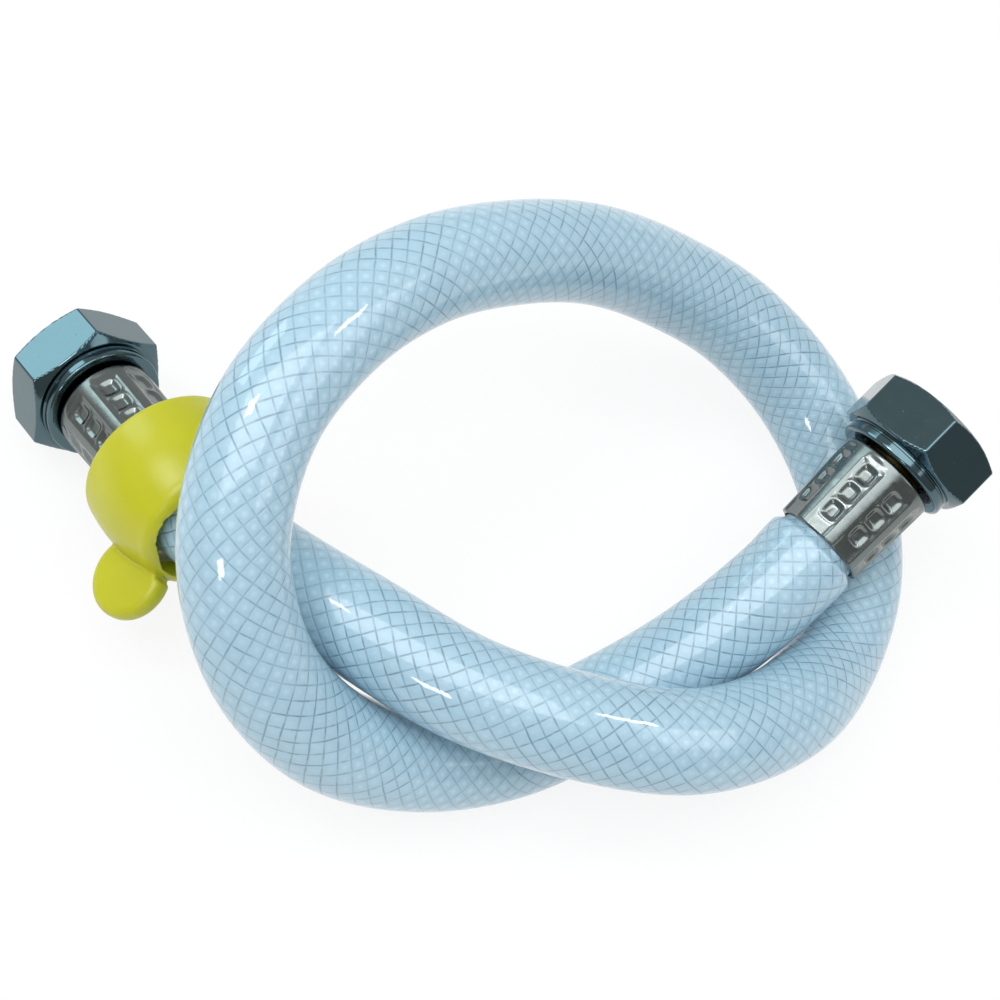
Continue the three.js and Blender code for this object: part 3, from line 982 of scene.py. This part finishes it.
@dataclass(frozen=True)
class Studio:
    """Camera at the photograph's viewing angle, lamps, a white floor and a plain room."""

    lens: float = 70.34
    eye_mm: tuple[float, float, float] = (4.1, -160.07, 323.0)
    right: tuple[float, float, float] = (0.9607, 0.245, 0.1304)
    up: tuple[float, float, float] = (-0.2775, 0.8481, 0.4514)
    back: tuple[float, float, float] = (0.0, -0.4699, 0.8827)
    middle_mm: tuple[float, float, float] = (2.0, 0.0, 30.0)
    floor_size: float = 60.0
    floor_colour: str = "#f4f4f4"
    floor_white_share: float = 0.86
    room_colour: str = "#ffffff"
    room_low: float = 0.3
    room_high: float = 0.58
    bright_side: tuple[float, float, float] = (-0.36, 0.64, 0.68)
    # Right, up, towards, distance, width, height, brightness
    lamps: tuple[Lamp, ...] = (
        Lamp("Softbox", -0.05, 0.36, 0.92, 0.75, 0.85, 0.55, 2.7, "#f8fcff"),
        Lamp("Fill_right", 0.8, 0.08, 0.6, 0.8, 0.4, 0.5, 1.8, "#f8fcff"),
        Lamp("Window", -0.61, 0.77, 0.18, 0.8, 0.3, 0.3, 3.0, "#dff9ff"),
        Lamp("Spot_upper_left", -0.33, 0.46, 0.82, 0.65, 0.12, 0.07, 13.0),
        Lamp("Spot_lower_left", -0.33, -0.38, 0.87, 0.65, 0.12, 0.07, 13.0),
        Lamp("Spot_right", 0.62, 0.42, 0.66, 0.65, 0.1, 0.06, 13.0),
    )

    def camera(self) -> None:
        """Makes the camera."""
        lens = bpy.data.cameras.new("Camera")
        lens.lens = self.lens
        lens.sensor_width = 36
        lens.clip_start = 0.01
        camera = bpy.data.objects.new("Camera", lens)
        bpy.context.scene.collection.objects.link(camera)
        axes = Matrix((self.right, self.up, self.back)).transposed().to_4x4()
        camera.matrix_world = Matrix.Translation(Vector(self.eye_mm) * MM) @ axes
        bpy.context.scene.camera = camera

    def light(self, lamp: Lamp) -> None:
        """Makes one lamp that faces the object's middle.

        Args:
            lamp: Its direction, size and brightness, where 1 is the white of the picture.
        """
        data = bpy.data.lights.new(lamp.name, "AREA")
        data.shape = "RECTANGLE"
        data.size, data.size_y = lamp.width, lamp.height
        data.energy = lamp.brightness * math.pi * lamp.width * lamp.height
        data.color = linear(lamp.colour)[:3]
        way = Vector(self.right) * lamp.right + Vector(self.up) * lamp.up + Vector(self.back) * lamp.towards
        way.normalize()
        source = bpy.data.objects.new(lamp.name, data)
        bpy.context.scene.collection.objects.link(source)
        across = Vector(self.up).cross(way).normalized()
        axes = Matrix((across, way.cross(across), way)).transposed().to_4x4()
        source.matrix_world = Matrix.Translation(Vector(self.middle_mm) * MM + way * lamp.distance) @ axes

    def floor(self) -> None:
        """Makes the table top, white to the eye and in reflections, which keeps a faint shadow."""
        bm = bmesh.new()
        bmesh.ops.create_grid(bm, x_segments=1, y_segments=1, size=self.floor_size / 2)
        mesh = bpy.data.meshes.new("Table_top")
        bm.to_mesh(mesh)
        bm.free()
        material = bpy.data.materials.new("White card")
        material.use_nodes = True
        tree = material.node_tree
        tree.nodes.clear()
        matt = add_node(tree, "ShaderNodeBsdfDiffuse", {"Color": linear(self.floor_colour)})
        white = add_node(tree, "ShaderNodeEmission", {"Color": (1, 1, 1, 1), "Strength": 1.0})
        rays = add_node(tree, "ShaderNodeLightPath")
        seen = rays.outputs["Is Camera Ray"]
        for ray in ("Is Glossy Ray", "Is Transmission Ray"):
            either = add_node(tree, "ShaderNodeMath", {0: seen, 1: rays.outputs[ray]}, operation="MAXIMUM")
            seen = either.outputs[0]
        share = add_node(tree, "ShaderNodeMath", {0: seen, 1: self.floor_white_share}, operation="MULTIPLY")
        surfaces = {0: share.outputs[0], 1: matt.outputs[0], 2: white.outputs[0]}
        mixed = add_node(tree, "ShaderNodeMixShader", surfaces)
        add_node(tree, "ShaderNodeOutputMaterial", {"Surface": mixed.outputs[0]})
        mesh.materials.append(material)
        floor = bpy.data.objects.new("Table_top", mesh)
        bpy.context.scene.collection.objects.link(floor)

    def room(self) -> None:
        """Makes the room that the metal reflects, brighter above the object, with a white backdrop."""
        world = bpy.data.worlds.new("Room")
        world.use_nodes = True
        tree = world.node_tree
        way = add_node(tree, "ShaderNodeTexCoord").outputs["Generated"]
        sides = {0: way, 1: self.bright_side}
        facing = add_node(tree, "ShaderNodeVectorMath", sides, operation="DOT_PRODUCT")
        spread = {0: facing.outputs["Value"], 1: -0.3, 2: 0.95, 3: self.room_low, 4: self.room_high}
        level = add_node(tree, "ShaderNodeMapRange", spread, interpolation_type="SMOOTHSTEP")
        backdrop = tree.nodes["Background"]
        backdrop.inputs["Color"].default_value = linear(self.room_colour)
        rays = add_node(tree, "ShaderNodeLightPath")
        shown = add_node(tree, "ShaderNodeMath", {0: level.outputs[0], 1: rays.outputs["Is Camera Ray"]},
                         operation="MAXIMUM")
        tree.links.new(shown.outputs[0], backdrop.inputs["Strength"])
        bpy.context.scene.world = world

    def build(self) -> None:
        """Makes the camera, the lamps, the floor and the room."""
        self.camera()
        for lamp in self.lamps:
            self.light(lamp)
        self.floor()
        self.room()
        bpy.context.scene.view_settings.view_transform = "Standard"


def main() -> None:
    logging.basicConfig(level=logging.INFO, format="%(name)s %(message)s")
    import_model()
    Studio().build()

    braid = BraidUnderClearSkin("Clear PVC over polyester braid", "#adc8d6", 0.45, ior=1.5).make()
    # Chrome: base colour painted dark, a painted reflection of a dim room
    chrome = ChromePlate("Chrome plate on brass", "#556a70", 0.07, metallic=1.0).make()
    # Steel: base colour painted dark, a painted reflection of a dim room
    steel = PressedSteel("Pressed stainless steel", "#767d7b", 0.19, metallic=1.0).make()
    # Brass: base colour painted dark, the painted shade of the gap between nut and ferrule
    brass = TurnedBrass("Turned brass", "#655534", 0.35, metallic=1.0).make()
    rubber = BlackRubber("EPDM rubber", "#1c1f21", 0.75).make()
    yellow = MouldedYellow("Moulded yellow polyethylene", "#bdbb17", 0.34, ior=1.51).make()

    route = Route(ROUTE_MM)
    hose = Hose(route)
    tube = hose.dress(braid)
    for letter, body, roll in (("a", Body.NUT_A, 33.0), ("b", Body.NUT_B, 14.0)):
        end = route.end_place(first=letter == "a")
        Stem().dress(f"Stem_{letter}", f"stem_{letter}", end, brass)
        Washer().dress(f"Washer_{letter}", f"washer_{letter}", end, rubber)
        Ferrule().dress(f"Ferrule_{letter}", f"ferrule_{letter}", end, steel)
        nut = SwivelNut(roll_degrees=roll)
        nut.dress(f"Swivel_nut_{letter}", f"swivel_nut_{letter}", body, end, chrome)
    HandKey(route).dress(yellow)
    line = hose.path()
    log.info("hose length %.1f mm", route.length)


if __name__ == "__main__":
    main()
